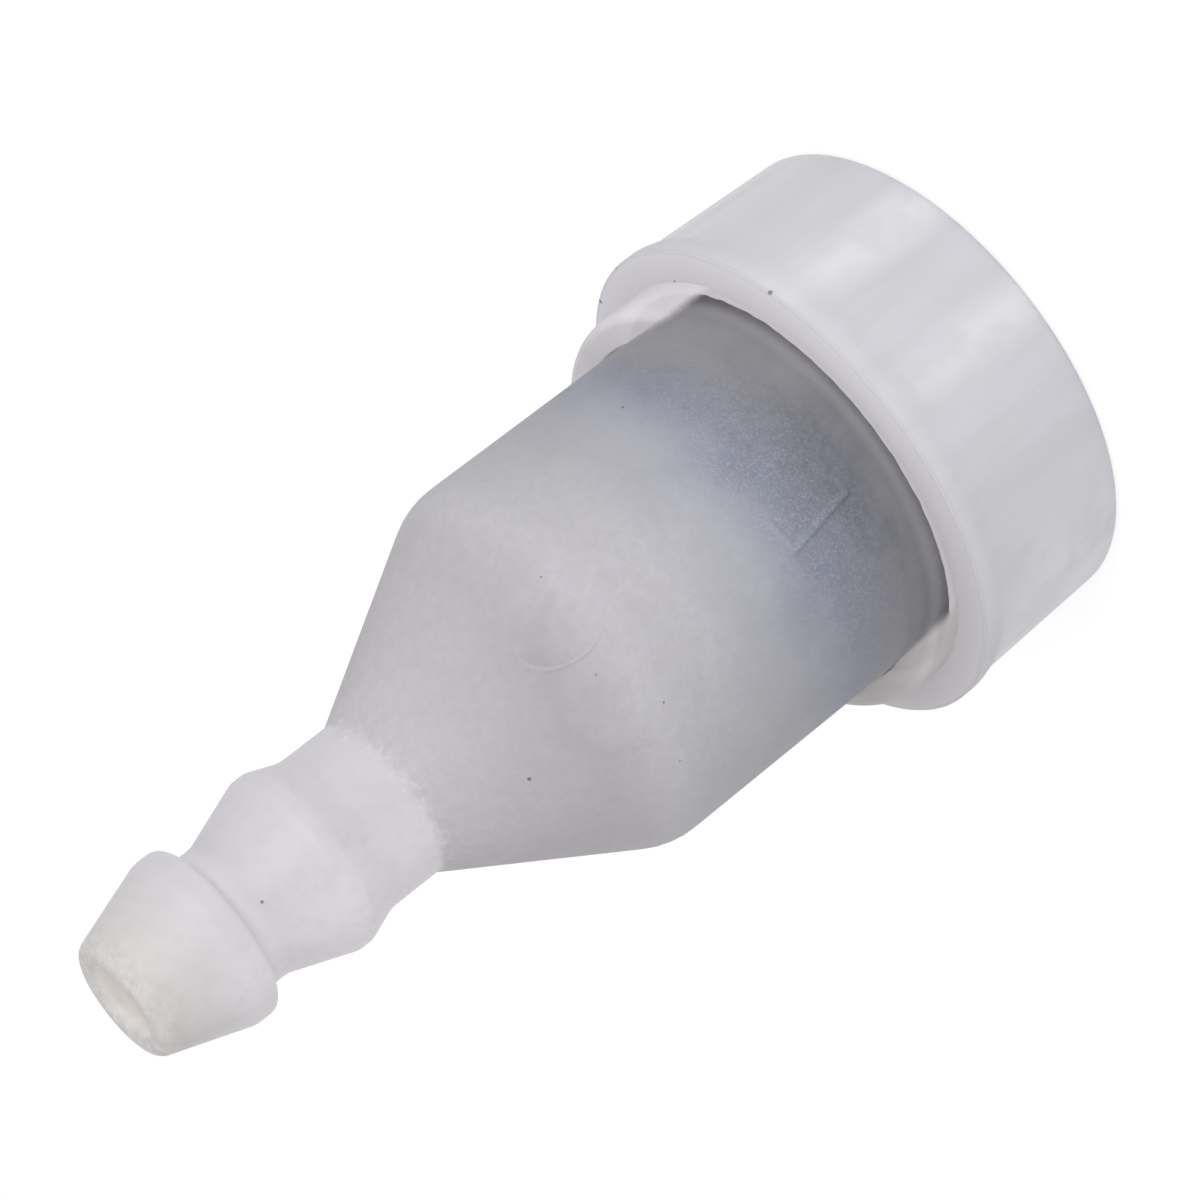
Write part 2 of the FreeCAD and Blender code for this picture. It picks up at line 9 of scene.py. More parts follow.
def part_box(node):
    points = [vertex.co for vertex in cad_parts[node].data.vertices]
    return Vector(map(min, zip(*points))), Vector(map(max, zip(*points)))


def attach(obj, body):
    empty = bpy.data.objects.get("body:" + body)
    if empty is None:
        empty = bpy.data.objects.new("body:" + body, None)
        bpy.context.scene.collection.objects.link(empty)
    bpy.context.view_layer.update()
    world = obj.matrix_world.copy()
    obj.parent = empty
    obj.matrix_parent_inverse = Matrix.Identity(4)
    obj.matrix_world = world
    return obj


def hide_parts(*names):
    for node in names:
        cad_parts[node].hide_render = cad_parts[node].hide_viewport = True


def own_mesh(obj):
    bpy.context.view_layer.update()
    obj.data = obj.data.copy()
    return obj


# Looks of a small milky non-return valve with a hose tail.
# The valve stands on its inlet face; +Z runs along its axis to the tip of the hose tail.
# Angles round the axis are counted from -Y, the side with the moulded marks, towards -X.

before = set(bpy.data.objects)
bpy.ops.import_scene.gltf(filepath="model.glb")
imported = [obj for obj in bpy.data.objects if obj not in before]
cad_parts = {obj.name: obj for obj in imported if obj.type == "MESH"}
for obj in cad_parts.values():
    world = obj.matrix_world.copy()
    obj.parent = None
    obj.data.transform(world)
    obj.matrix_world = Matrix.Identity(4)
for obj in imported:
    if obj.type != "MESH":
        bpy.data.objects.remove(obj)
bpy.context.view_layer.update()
MM = 0.001

# Levels and radii, in metres: what the frame shows is read from it, the rest is named here.
body_low, body_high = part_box("valve_body")
collar_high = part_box("inlet_collar")[1]
ring_low, ring_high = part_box("retaining_ring")
spring_low, spring_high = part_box("return_spring")
BODY_FOOT = body_low.z
TIP = body_high.z
FLANGE_RADIUS = body_high.x
FLANGE_TOP = ring_low.z
COLLAR_FRONT = collar_high.z
LIP_RADIUS = collar_high.x
RING_RADIUS = ring_high.x
CHAMBER_RADIUS = 12.0 * MM
CHAMBER_WALL = 1.6 * MM
RING_BORE = CHAMBER_RADIUS + 0.05 * MM
RING_NECK = RING_BORE + 0.95 * MM
FRONT_HOLE = RING_NECK + 0.04 * MM
COLLAR_BORE = FLANGE_RADIUS + 0.04 * MM
HEAD_FOOT = COLLAR_FRONT + 0.02 * MM
NECK_RADIUS = 5.0 * MM
SHOULDER_START = 30.65 * MM
SHOULDER_END = 42.7 * MM
TAIL_BORE = 2.2 * MM
GUIDE_LEDGE = 24.0 * MM
GUIDE_LEDGE_WIDTH = 0.8 * MM
SHOULDER_WALL = 1.7 * MM

# The hose tail's outline: radii, and levels on the way to the tip.
REAR_BARB_RADIUS = 5.7 * MM
REAR_BARB_FOOT = 46.3 * MM
REAR_BARB_CREST = 48.2 * MM
REAR_BARB_FALL = 49.0 * MM
GROOVE_RADIUS = 4.25 * MM
GROOVE_START = 53.0 * MM
FRONT_BARB_BACK = 54.6 * MM
FRONT_BARB_RADIUS = 5.4 * MM
FRONT_BARB_FALL = 56.1 * MM
TIP_RADIUS = 3.6 * MM

# The collar's outline outside, and the washer's groove inside.
COLLAR_REAR_RADIUS = 15.3 * MM
COLLAR_WAIST_RADIUS = 15.6 * MM
FLARE_START = 9.5 * MM
FLARE_END = 10.7 * MM
WASHER_GROOVE_RADIUS = COLLAR_BORE + 0.3 * MM
WASHER_GROOVE_FOOT = 4.8 * MM
WASHER_GROOVE_TOP = 6.0 * MM

# The ring's front is a slanted plane.
RING_MIDDLE = 14.85 * MM
RING_SLANT = math.radians(5.2)
RING_HIGHEST = math.radians(53.3)


ARC_STEP = math.radians(9)
SHARP_ANGLE = math.radians(38)


def rounded(corners):
    """Points of an outline of (radius, height, rounding) corners, with each rounding as an arc."""
    points = []
    count = len(corners)
    for index, (across, along, rounding) in enumerate(corners):
        here = Vector((across, along))
        before = Vector(corners[index - 1][:2]) - here
        after = Vector(corners[(index + 1) % count][:2]) - here
        if rounding == 0:
            points.append(here)
            continue
        half = before.angle(after) / 2
        reach = rounding / math.tan(half)
        middle = (before.normalized() + after.normalized()).normalized()
        centre = here + middle * (rounding / math.sin(half))
        start = here + before.normalized() * reach - centre
        end = here + after.normalized() * reach - centre
        turn = start.angle_signed(end)
        pieces = max(2, math.ceil(abs(turn) / ARC_STEP))
        for piece in range(pieces + 1):
            angle = -turn * piece / pieces
            spun = Matrix.Rotation(angle, 2) @ start
            points.append(centre + spun)
    return points


def split_rows(points, low, high, spacing):
    """The outline again, with extra points on the outside, where it rises between two levels."""
    rows = []
    count = len(points)
    for index, here in enumerate(points):
        following = points[(index + 1) % count]
        rows.append(here)
        if here.y < low - 1e-6 or following.y > high + 1e-6 or following.y < here.y:
            continue
        extra = int((following - here).length / spacing)
        for number in range(1, extra + 1):
            rows.append(here.lerp(following, number / (extra + 1)))
    return rows


def even_turn(count):
    return [2 * math.pi * number / count for number in range(count)]


def lathe(name, points, turns):
    """Mesh turned round the axis: a closed outline of (radius, height), at the given turns from -Y."""
    rows = len(points)
    vertices = []
    for turn in turns:
        for point in points:
            vertices.append((-point.x * math.sin(turn), -point.x * math.cos(turn), point.y))
    faces = []
    columns = len(turns)
    for column in range(columns):
        following = (column + 1) % columns
        for row in range(rows):
            above = (row + 1) % rows
            faces.append((column * rows + row, following * rows + row,
                          following * rows + above, column * rows + above))
    mesh = bpy.data.meshes.new(name)
    mesh.from_pydata(vertices, [], faces)
    mesh.validate()
    piece = bpy.data.objects.new(name, mesh)
    bpy.context.scene.collection.objects.link(piece)
    return piece


def finish_mesh(piece):
    """Faces outwards, smooth shading, and sharp edges where the form turns hard."""
    work = bmesh.new()
    work.from_mesh(piece.data)
    bmesh.ops.recalc_face_normals(work, faces=work.faces)
    work.to_mesh(piece.data)
    work.free()
    for polygon in piece.data.polygons:
        polygon.use_smooth = True
    piece.data.set_sharp_from_angle(angle=SHARP_ANGLE)
    piece.data.update()


def ramp(value, low, high):
    """Smooth step from 0 at low to 1 at high."""
    share = min(1.0, max(0.0, (value - low) / (high - low)))
    return share * share * (3 - 2 * share)


# Moulded marks on the chamber's near side.
DIMPLE_TURN = math.radians(-8.5)
DIMPLE_LEVEL = 32.7 * MM
DIMPLE_RADIUS = 2.15 * MM
DIMPLE_DEPTH = 0.22 * MM
DIMPLE_RIM = 0.15 * MM
MARK_TURN = math.radians(14.6)
MARK_LEVEL = 19.35 * MM
MARK_LEAN = math.radians(10)
MARK_HALF_STROKE = 0.24 * MM
MARK_LONG = 4.6 * MM
MARK_SHORT = 1.8 * MM
MARK_RELIEF = 0.18 * MM
MARK_SOFTNESS = 0.16 * MM

# Where the skin's mesh is dense for the marks: levels, and columns from -Y towards -X in degrees.
MARK_ZONE = (13.5 * MM, 21.0 * MM)
DIMPLE_ZONE = (29.0 * MM, 36.5 * MM)
NEAR_START = -18
NEAR_STEP = 0.25
NEAR_COUNT = 161
FAR_COUNT = 150


def distance_to_stroke(across, along, end_across, end_along):
    """Distance from a point to a straight stroke that starts at the origin."""
    length_squared = end_across ** 2 + end_along ** 2
    share = (across * end_across + along * end_along) / length_squared
    share = min(1.0, max(0.0, share))
    return math.hypot(across - share * end_across, along - share * end_along)


def relief(turn, level):
    """How far the chamber's skin stands out at a place: the raised corner mark and the sunk dimple."""
    arc = (turn - DIMPLE_TURN) * CHAMBER_RADIUS
    far = math.hypot(arc, level - DIMPLE_LEVEL)
    # Crisp with a low rim of flash on one side, and washed out on the other.
    crisp = ramp(0.8 * arc + 0.6 * (level - DIMPLE_LEVEL), 0.2 * MM, 1.8 * MM)
    softness = 1.5 * MM - 1.15 * MM * crisp
    sunk = -DIMPLE_DEPTH * (1 - ramp(far, DIMPLE_RADIUS - softness, DIMPLE_RADIUS + 0.1 * MM))
    rim = DIMPLE_RIM * crisp * max(0.0, 1 - abs(far - DIMPLE_RADIUS - 0.15 * MM) / (0.24 * MM))
    across = (turn - MARK_TURN) * CHAMBER_RADIUS
    along = level - MARK_LEVEL
    # The long leg runs down the axis and the short one back towards the dimple, both leaning a little.
    long_end = (-MARK_LONG * math.sin(MARK_LEAN), -MARK_LONG * math.cos(MARK_LEAN))
    short_end = (-MARK_SHORT * math.cos(MARK_LEAN), MARK_SHORT * math.sin(MARK_LEAN))
    nearest = min(distance_to_stroke(across, along, *long_end),
                  distance_to_stroke(across, along, *short_end))
    stroke_edge = ramp(nearest, MARK_HALF_STROKE - MARK_SOFTNESS, MARK_HALF_STROKE + MARK_SOFTNESS)
    return sunk + rim + MARK_RELIEF * (1 - stroke_edge)


def make_body_shell():
    slope = (CHAMBER_RADIUS - NECK_RADIUS) / (SHOULDER_END - SHOULDER_START)
    drop = SHOULDER_WALL * math.sqrt(1 + slope ** 2) / slope
    chamber_bore = CHAMBER_RADIUS - CHAMBER_WALL
    guide_bore = chamber_bore - GUIDE_LEDGE_WIDTH
    inner_cone_start = SHOULDER_START + (CHAMBER_RADIUS - guide_bore) / slope - drop
    inner_cone_end = SHOULDER_START + (CHAMBER_RADIUS - TAIL_BORE) / slope - drop
    corners = [
        (chamber_bore, BODY_FOOT, 0),
        (FLANGE_RADIUS, BODY_FOOT, 0.1 * MM),
        (FLANGE_RADIUS, FLANGE_TOP, 0.1 * MM),
        (CHAMBER_RADIUS, FLANGE_TOP, 0),
        (CHAMBER_RADIUS, SHOULDER_START, 4.5 * MM),
        (NECK_RADIUS, SHOULDER_END, 0.5 * MM),
        (NECK_RADIUS, REAR_BARB_FOOT, 2.5 * MM),
        (REAR_BARB_RADIUS, REAR_BARB_CREST, 0.9 * MM),
        (REAR_BARB_RADIUS, REAR_BARB_FALL, 0.9 * MM),
        (GROOVE_RADIUS, GROOVE_START, 2.0 * MM),
        (GROOVE_RADIUS, FRONT_BARB_BACK, 0.5 * MM),
        (FRONT_BARB_RADIUS, FRONT_BARB_BACK, 0.6 * MM),
        (FRONT_BARB_RADIUS, FRONT_BARB_FALL, 1.6 * MM),
        (TIP_RADIUS, TIP, 0.8 * MM),
        (TAIL_BORE, TIP, 0.7 * MM),
        (TAIL_BORE, inner_cone_end, 0.8 * MM),
        (guide_bore, inner_cone_start, 0.8 * MM),
        (guide_bore, GUIDE_LEDGE, 0.1 * MM),
        (chamber_bore, GUIDE_LEDGE, 0),
    ]
    points = rounded(corners)
    points = split_rows(points, FLANGE_TOP, SHOULDER_END, 0.5 * MM)
    near = [math.radians(NEAR_START + NEAR_STEP * number) for number in range(NEAR_COUNT)]
    far_step = (2 * math.pi - (near[-1] - near[0])) / FAR_COUNT
    far = [near[-1] + far_step * number for number in range(1, FAR_COUNT)]
    dense = split_rows(points, *MARK_ZONE, 0.1 * MM)
    dense = split_rows(dense, *DIMPLE_ZONE, 0.12 * MM)
    piece = lathe("body_shell", dense, near + far)
    outside = CHAMBER_RADIUS - CHAMBER_WALL / 2
    for vertex in piece.data.vertices:
        place = vertex.co
        across = math.hypot(place.x, place.y)
        limit = outside if place.z < SHOULDER_START else outside - (place.z - SHOULDER_START) * slope
        if across < limit or not MARK_ZONE[0] < place.z < DIMPLE_ZONE[1]:
            continue
        turn = math.atan2(-place.x, -place.y)
        out = relief(turn, place.z)
        vertex.co = place + Vector((place.x, place.y, 0)).normalized() * out
    finish_mesh(piece)
    return piece


def make_collar_shell():
    corners = [
        (COLLAR_BORE + 0.6 * MM, 0, 0.1 * MM),
        (COLLAR_REAR_RADIUS, 0, 0.5 * MM),
        (COLLAR_WAIST_RADIUS, FLARE_START, 1.5 * MM),
        (LIP_RADIUS, FLARE_END, 0.8 * MM),
        (LIP_RADIUS, COLLAR_FRONT, 0.15 * MM),
        (FRONT_HOLE + 0.4 * MM, COLLAR_FRONT, 0),
        (FRONT_HOLE, COLLAR_FRONT, 0.12 * MM),
        (FRONT_HOLE, FLANGE_TOP, 0),
        (COLLAR_BORE, FLANGE_TOP, 0),
        (COLLAR_BORE, WASHER_GROOVE_TOP, 0),
        (WASHER_GROOVE_RADIUS, WASHER_GROOVE_TOP, 0),
        (WASHER_GROOVE_RADIUS, WASHER_GROOVE_FOOT, 0),
        (COLLAR_BORE, WASHER_GROOVE_FOOT, 0),
        (COLLAR_BORE, 0.6 * MM, 0.1 * MM),
    ]
    piece = lathe("collar_shell", rounded(corners), even_turn(512))
    # The hole's front edge is ragged: it is worn back by up to a tenth of a millimetre or so.
    for vertex in piece.data.vertices:
        place = vertex.co
        across = math.hypot(place.x, place.y)
        if across > FRONT_HOLE + 0.2 * MM or place.z < COLLAR_FRONT - 0.2 * MM:
            continue
        turn = math.atan2(place.x, place.y)
        wave = smooth_noise.noise(Vector((math.cos(turn), math.sin(turn), 0)) * 14)
        wear = 0.16 * MM * max(0.0, wave + 0.15)
        vertex.co = place + Vector((place.x, place.y, 0)).normalized() * wear
    finish_mesh(piece)
    return piece


def ring_front(place):
    """Level of the ring's slanted front at a place in the plan."""
    reach = place.x * math.cos(RING_HIGHEST) + place.y * math.sin(RING_HIGHEST)
    return RING_MIDDLE + reach * math.tan(RING_SLANT)


def make_clear_ring():
    corners = [
        (RING_BORE, FLANGE_TOP, 0),
        (RING_NECK, FLANGE_TOP, 0.05 * MM),
        (RING_NECK, HEAD_FOOT, 0),
        (RING_RADIUS, HEAD_FOOT, 0.05 * MM),
        (RING_RADIUS, RING_MIDDLE, 0.6 * MM),
        (RING_BORE, RING_MIDDLE, 0.15 * MM),
    ]
    piece = lathe("clear_ring", rounded(corners), even_turn(256))
    for vertex in piece.data.vertices:
        place = vertex.co
        share = max(0.0, (place.z - HEAD_FOOT) / (RING_MIDDLE - HEAD_FOOT))
        place.z += (ring_front(place) - RING_MIDDLE) * share
    finish_mesh(piece)
    return piece


def make_return_coil():
    """The spring's round wire: a closed coil at each end and open coils between them."""
    wire = 0.22 * MM
    mean = 4.0 * MM
    low = spring_low.z + wire
    high = spring_high.z - wire
    closed = 2 * wire + 0.03 * MM
    steps_per_coil = 48
    open_coils = 3
    levels = []
    for step in range(steps_per_coil):
        levels.append(low + closed * step / steps_per_coil)
    open_steps = steps_per_coil * open_coils
    for step in range(open_steps):
        levels.append(low + closed + (high - low - 2 * closed) * step / open_steps)
    for step in range(steps_per_coil + 1):
        levels.append(high - closed + closed * step / steps_per_coil)
    sides = 12
    vertices = []
    for number, level in enumerate(levels):
        turn = 2 * math.pi * number / steps_per_coil
        for side in range(sides):
            angle = 2 * math.pi * side / sides
            across = mean + wire * math.cos(angle)
            along = level + wire * math.sin(angle)
            vertices.append((across * math.cos(turn), across * math.sin(turn), along))
    faces = []
    for number in range(len(levels) - 1):
        for side in range(sides):
            beside = (side + 1) % sides
            faces.append((number * sides + side, number * sides + beside,
                          (number + 1) * sides + beside, (number + 1) * sides + side))
    faces.append(tuple(range(sides)))
    faces.append(tuple(range(len(vertices) - sides, len(vertices))))
    mesh = bpy.data.meshes.new("return_coil")
    mesh.from_pydata(vertices, [], faces)
    piece = bpy.data.objects.new("return_coil", mesh)
    bpy.context.scene.collection.objects.link(piece)
    finish_mesh(piece)
    return piece


def new_material(name):
    """A material with its node tree, its shader and a position input in metres of the row frame."""
    material = bpy.data.materials.new(name)
    material.use_nodes = True
    tree = material.node_tree
    shader = tree.nodes["Principled BSDF"]
    place = tree.nodes.new("ShaderNodeTexCoord").outputs["Object"]
    return material, tree, shader, place


def node_math(tree, operation, first, second):
    """A sum, product or other step of two values, each a number or an output."""
    node = tree.nodes.new("ShaderNodeMath")
    node.operation = operation
    for socket, value in zip(node.inputs, (first, second)):
        if isinstance(value, (int, float)):
            socket.default_value = value
        else:
            tree.links.new(value, socket)
    return node.outputs[0]


def noise(tree, place, scale, detail=3.0, stretch=(1, 1, 1), roughness=0.5):
    """Noise whose features are about 1/scale metres wide."""
    mapping = tree.nodes.new("ShaderNodeMapping")
    mapping.inputs["Scale"].default_value = stretch
    tree.links.new(place, mapping.inputs["Vector"])
    node = tree.nodes.new("ShaderNodeTexNoise")
    node.inputs["Scale"].default_value = scale
    node.inputs["Detail"].default_value = detail
    node.inputs["Roughness"].default_value = roughness
    tree.links.new(mapping.outputs["Vector"], node.inputs["Vector"])
    return node.outputs["Fac"]


def spread(tree, value, low, high, to_low=0.0, to_high=1.0, smooth=True):
    """The value mapped from one range to another, kept inside it."""
    node = tree.nodes.new("ShaderNodeMapRange")
    node.interpolation_type = "SMOOTHSTEP" if smooth else "LINEAR"
    node.inputs["From Min"].default_value = low
    node.inputs["From Max"].default_value = high
    node.inputs["To Min"].default_value = to_low
    node.inputs["To Max"].default_value = to_high
    tree.links.new(value, node.inputs["Value"])
    return node.outputs["Result"]


def mix_colours(tree, share, first, second):
    """Between two colours, each an (r, g, b) or an output, by a share that is an output."""
    node = tree.nodes.new("ShaderNodeMix")
    node.data_type = "RGBA"
    for socket, value in ((node.inputs[6], first), (node.inputs[7], second)):
        if isinstance(value, tuple):
            socket.default_value = (*value, 1)
        else:
            tree.links.new(value, socket)
    tree.links.new(share, node.inputs[0])
    return node.outputs[2]


def mix_value(tree, share, first, second):
    """Between two numbers, by share."""
    return spread(tree, share, 0, 1, first, second, smooth=False)


def mix_linked(tree, share, first, second):
    """Between an output and a number, by share."""
    node = tree.nodes.new("ShaderNodeMix")
    tree.links.new(share, node.inputs[0])
    tree.links.new(first, node.inputs[2])
    node.inputs[3].default_value = second
    return node.outputs[0]


def separate(tree, place):
    node = tree.nodes.new("ShaderNodeSeparateXYZ")
    tree.links.new(place, node.inputs[0])
    return node.outputs


def bump(tree, shader, height, strength, distance):
    node = tree.nodes.new("ShaderNodeBump")
    node.inputs["Strength"].default_value = strength
    node.inputs["Distance"].default_value = distance
    tree.links.new(height, node.inputs["Height"])
    tree.links.new(node.outputs["Normal"], shader.inputs["Normal"])


def surface_point(turn_degrees, level, across):
    """Point at a turn from -Y towards -X in degrees, and a level and a radius in millimetres."""
    turn = math.radians(turn_degrees)
    return Vector((-across * math.sin(turn), -across * math.cos(turn), level)) * MM


def specks(tree, place, colour, spots, speck_colour):
    """Dark specks, each a (turn, level, radius on the valve, size) in degrees and millimetres."""
    for turn, level, across, size in spots:
        node = tree.nodes.new("ShaderNodeVectorMath")
        node.operation = "DISTANCE"
        tree.links.new(place, node.inputs[0])
        node.inputs[1].default_value = surface_point(turn, level, across)
        near = spread(tree, node.outputs["Value"], size * 0.5 * MM, size * MM, 0.75, 0.0)
        colour = mix_colours(tree, near, colour, speck_colour)
    return colour


def paint(piece, material):
    piece.data.materials.clear()
    piece.data.materials.append(material)


def soften(shader, weight, radius_mm):
    """Light that spreads inside the milky plastic."""
    shader.inputs["Subsurface Weight"].default_value = weight
    shader.inputs["Subsurface Scale"].default_value = radius_mm * MM
    shader.inputs["Subsurface Radius"].default_value = (1.0, 0.95, 0.9)


# Colours as linear light. Towards the collar the chamber is painted dark grey and blue.
CHAMBER_FOOT = (0.275, 0.272, 0.285)
CHAMBER_GREY = (0.162, 0.169, 0.196)
CHAMBER_BLUE = (0.24, 0.254, 0.322)
CHAMBER_PALE = (0.44, 0.44, 0.485)
CHAMBER_SIDE = (0.29, 0.285, 0.30)
BODY_WHITE = (0.55, 0.535, 0.565)
SHOULDER_SHADE = (0.45, 0.43, 0.455)
SHOULDER_SIDE = (0.54, 0.505, 0.53)
SHOULDER_WHITE = (0.58, 0.545, 0.57)
FROST = (0.52, 0.54, 0.60)
TAIL_LEFT_PAINTED_SHADE = (0.64, 0.615, 0.645)
TAIL_RIGHT_PAINTED_LIGHT = (0.79, 0.75, 0.785)
ROOT_WHITE = (0.78, 0.77, 0.79)
TIP_WHITE = (0.63, 0.60, 0.59)
TIP_DIRT = (0.40, 0.375, 0.335)
INSIDE_GLOW = (0.16, 0.15, 0.135)
GROOVE_GLOW = (0.04, 0.038, 0.04)
COLLAR_WHITE = (0.66, 0.65, 0.685)
COLLAR_HIGHLIGHT = (0.80, 0.79, 0.82)
COLLAR_SHADE = (0.60, 0.595, 0.615)
LIP_LEFT_PAINTED_LIGHT = (0.77, 0.74, 0.775)
LIP_RIGHT_PAINTED_SHADE = (0.65, 0.62, 0.635)
LIP_EDGE_HIGHLIGHT = (0.95, 0.92, 0.94)
LIP_CORNER = (0.5, 0.49, 0.51)
RING_LEFT_PAINTED_LIGHT = (0.84, 0.80, 0.825)
RING_RIGHT_PAINTED_SHADE = (0.66, 0.63, 0.63)
SPECK = (0.09, 0.08, 0.08)
FOOT_PALE = (0.62, 0.60, 0.62)
MOTTLE_GREY = (0.36, 0.35, 0.37)
SMUDGE_GREY = (0.5, 0.48, 0.48)
LINE_GREY = (0.56, 0.55, 0.575)
RING_GREY = (0.5, 0.48, 0.47)
NO_GLOW = (0.0, 0.0, 0.0)
PLATE_PALE = (0.66, 0.65, 0.66)
PLATE_SHADE = (0.58, 0.57, 0.58)
PLASTIC_WHITE = (0.74, 0.74, 0.73)
PLASTIC_SHADE = (0.66, 0.66, 0.65)
RUBBER_BLACK = (0.022, 0.022, 0.024)
RUBBER_GREY = (0.045, 0.045, 0.047)
STEEL_DARK = (0.50, 0.50, 0.51)
STEEL_BRIGHT = (0.66, 0.66, 0.66)

# Cosine of the slope at which the photograph looks down on the valve.
SIGHT_SLOPE = 0.92


def gradient(tree, value, stops):
    """Colour that runs from stop to stop; each stop is a (value, colour)."""
    low = stops[0][0]
    high = stops[-1][0]
    node = tree.nodes.new("ShaderNodeValToRGB")
    elements = node.color_ramp.elements
    for number, (stop, colour) in enumerate(stops):
        share = (stop - low) / (high - low)
        if number == 0 or number == len(stops) - 1:
            element = elements[0 if number == 0 else -1]
            element.position = share
        else:
            element = elements.new(share)
        element.color = (*colour, 1)
    tree.links.new(spread(tree, value, low, high, smooth=False), node.inputs["Fac"])
    return node.outputs["Color"]


def near_value(tree, value, centre, width):
    """1 where the value is at the centre, falling to 0 at the given distance from it."""
    away = node_math(tree, "ABSOLUTE", node_math(tree, "SUBTRACT", value, centre), 0)
    return spread(tree, away, 0, width, 1.0, 0.0)


def turn_round_axis(tree, x, y):
    """Angle round the valve's axis from -Y towards -X, in degrees."""
    back_x = node_math(tree, "MULTIPLY", x, -1)
    back_y = node_math(tree, "MULTIPLY", y, -1)
    return node_math(tree, "MULTIPLY", node_math(tree, "ARCTAN2", back_x, back_y), math.degrees(1))


def distance_from_axis(tree, x, y):
    squares = node_math(tree, "ADD", node_math(tree, "MULTIPLY", x, x), node_math(tree, "MULTIPLY", y, y))
    return node_math(tree, "SQRT", squares, 0)


def body_material():
    material, tree, shader, place = new_material("milky_body_finish")
    x, y, z = separate(tree, place)
    cloud = noise(tree, place, 150, detail=4, roughness=0.6)
    drift = spread(tree, cloud, 0.3, 0.7, -1.3 * MM, 1.3 * MM, smooth=False)
    level = node_math(tree, "ADD", z, drift)
    colour = gradient(tree, level, [
        (11.4 * MM, CHAMBER_FOOT),
        (13.4 * MM, CHAMBER_GREY),
        (14.8 * MM, CHAMBER_GREY),
        (18.0 * MM, CHAMBER_BLUE),
        (22.0 * MM, CHAMBER_PALE),
        (26.5 * MM, BODY_WHITE),
        (31.0 * MM, BODY_WHITE),
        (34.5 * MM, SHOULDER_SHADE),
        (42.7 * MM, SHOULDER_WHITE),
    ])
    # Round the sides, the dark part is paler.
    left = spread(tree, x, 1.5 * MM, 10 * MM, smooth=False)
    right = spread(tree, node_math(tree, "MULTIPLY", x, -1), 3.5 * MM, 11.6 * MM, smooth=False)
    sides = node_math(tree, "MAXIMUM", left, right)
    low_part = spread(tree, z, 14.5 * MM, 19.5 * MM, 1.0, 0.0)
    colour = mix_colours(tree, node_math(tree, "MULTIPLY", sides, low_part), colour, CHAMBER_SIDE)
    # The skin in the gap's shade is painted paler, as in the photograph light reaches it through the ring.
    foot = spread(tree, z, 11.2 * MM, 12.4 * MM, 0.95, 0.0)
    foot = node_math(tree, "MULTIPLY", foot, spread(tree, x, -11 * MM, -3 * MM, 1.0, 0.7))
    colour = mix_colours(tree, foot, colour, FOOT_PALE)
    # Painted shade: around the middle of the chamber's length, its sides are darkened towards grey.
    painted_flank_shade = node_math(tree, "MULTIPLY", sides, near_value(tree, z, 24.5 * MM, 9 * MM))
    colour = mix_colours(tree, node_math(tree, "MULTIPLY", painted_flank_shade, 0.32), colour, CHAMBER_SIDE)
    shoulder = near_value(tree, z, 36 * MM, 6 * MM)
    colour = mix_colours(tree, node_math(tree, "MULTIPLY", sides, shoulder), colour, SHOULDER_SIDE)
    # Frosted grain, strongest in the blue part.
    frosted = near_value(tree, z, 18.5 * MM, 7 * MM)
    grain = spread(tree, noise(tree, place, 6500, detail=2, roughness=0.7), 0.46, 0.72, 0.0, 0.4)
    grain = node_math(tree, "MULTIPLY", grain, mix_value(tree, sides, 1.0, 0.45))
    colour = mix_colours(tree, node_math(tree, "MULTIPLY", grain, frosted), colour, FROST)
    mottle = spread(tree, noise(tree, place, 1600, detail=5, roughness=0.8), 0.35, 0.65, 0.0, 0.22)
    colour = mix_colours(tree, mottle, colour, MOTTLE_GREY)
    # The neck's root has a ragged pale boundary.
    ragged = noise(tree, place, 1500, detail=4, roughness=0.7)
    ragged = spread(tree, ragged, 0.3, 0.7, -0.22 * MM, 0.22 * MM)
    tail = node_math(tree, "ADD", z, ragged)
    tail = spread(tree, tail, SHOULDER_END - 0.5 * MM, SHOULDER_END + 0.55 * MM)
    # Painted light and shade: the tail is painted paler on its -X side and darker on its +X side.
    painted_tail_side_light = spread(tree, x, -5 * MM, 0.5 * MM)
    colour = mix_colours(tree, tail, colour, mix_colours(tree, painted_tail_side_light, TAIL_RIGHT_PAINTED_LIGHT, TAIL_LEFT_PAINTED_SHADE))
    root = near_value(tree, z, SHOULDER_END + 0.45 * MM, 1.3 * MM)
    crumbs = spread(tree, noise(tree, place, 3000, detail=3, roughness=0.6), 0.5, 0.7, 0.0, 0.4)
    colour = mix_colours(tree, node_math(tree, "MULTIPLY", root, crumbs), colour, ROOT_WHITE)
    tip = spread(tree, z, 54.5 * MM, TIP - 0.3 * MM)
    colour = mix_colours(tree, tip, colour, TIP_WHITE)
    # The worn tip has pale crumbs and a little yellow dirt.
    worn = spread(tree, z, 59.0 * MM, TIP)
    dirt = spread(tree, noise(tree, place, 1200, detail=5, roughness=0.75), 0.42, 0.68, 0.0, 0.38)
    colour = mix_colours(tree, node_math(tree, "MULTIPLY", worn, dirt), colour, TIP_DIRT)
    chips = spread(tree, noise(tree, place, 2000, detail=3, roughness=0.6), 0.5, 0.7, 0.0, 0.35)
    colour = mix_colours(tree, node_math(tree, "MULTIPLY", worn, chips), colour, ROOT_WHITE)
    smudge = spread(tree, noise(tree, place, 1100, detail=4, roughness=0.65), 0.45, 0.7, 0.0, 0.16)
    colour = mix_colours(tree, node_math(tree, "MULTIPLY", smudge, tail), colour, SMUDGE_GREY)
    colour = specks(tree, place, colour, BODY_SPECKS, SPECK)
    tree.links.new(colour, shader.inputs["Base Color"])
    tree.links.new(mix_value(tree, tail, 0.62, 0.42), shader.inputs["Roughness"])
    shader.inputs["Specular IOR Level"].default_value = 0.35
    soften(shader, 0.35, 3.0)
